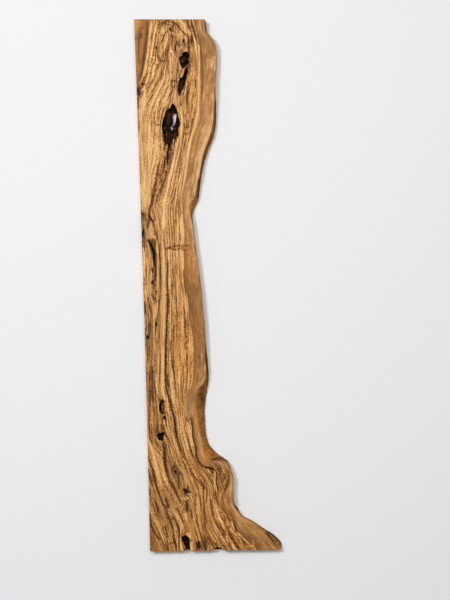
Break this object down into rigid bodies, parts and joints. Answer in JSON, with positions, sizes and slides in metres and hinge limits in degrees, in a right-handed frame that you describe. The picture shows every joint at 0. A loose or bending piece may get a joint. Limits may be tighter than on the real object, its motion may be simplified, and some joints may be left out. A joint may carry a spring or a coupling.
{
  "type": "olive wood live edge slab",
  "caption": "Long flat slab of olive wood, sawn straight on one side, with a wavy live edge that flares to a pointed foot, rotted hollows and a sanded face.",
  "frame": {"origin": "middle of the slab's box, on the back face that it lies on", "axes": "+Z out of the sanded front face, +Y from the wide foot to the top end, +X from the sawn side to the live edge"},
  "size_m": [0.3338, 1.2, 0.028],
  "materials": {
    "olive_wood": "sanded bare, streaked honey and brown heartwood, plain brown sapwood and a rougher live edge"
  },
  "bodies": {
    "root": {"slab": "olive_wood"}
  },
  "joints": []
}
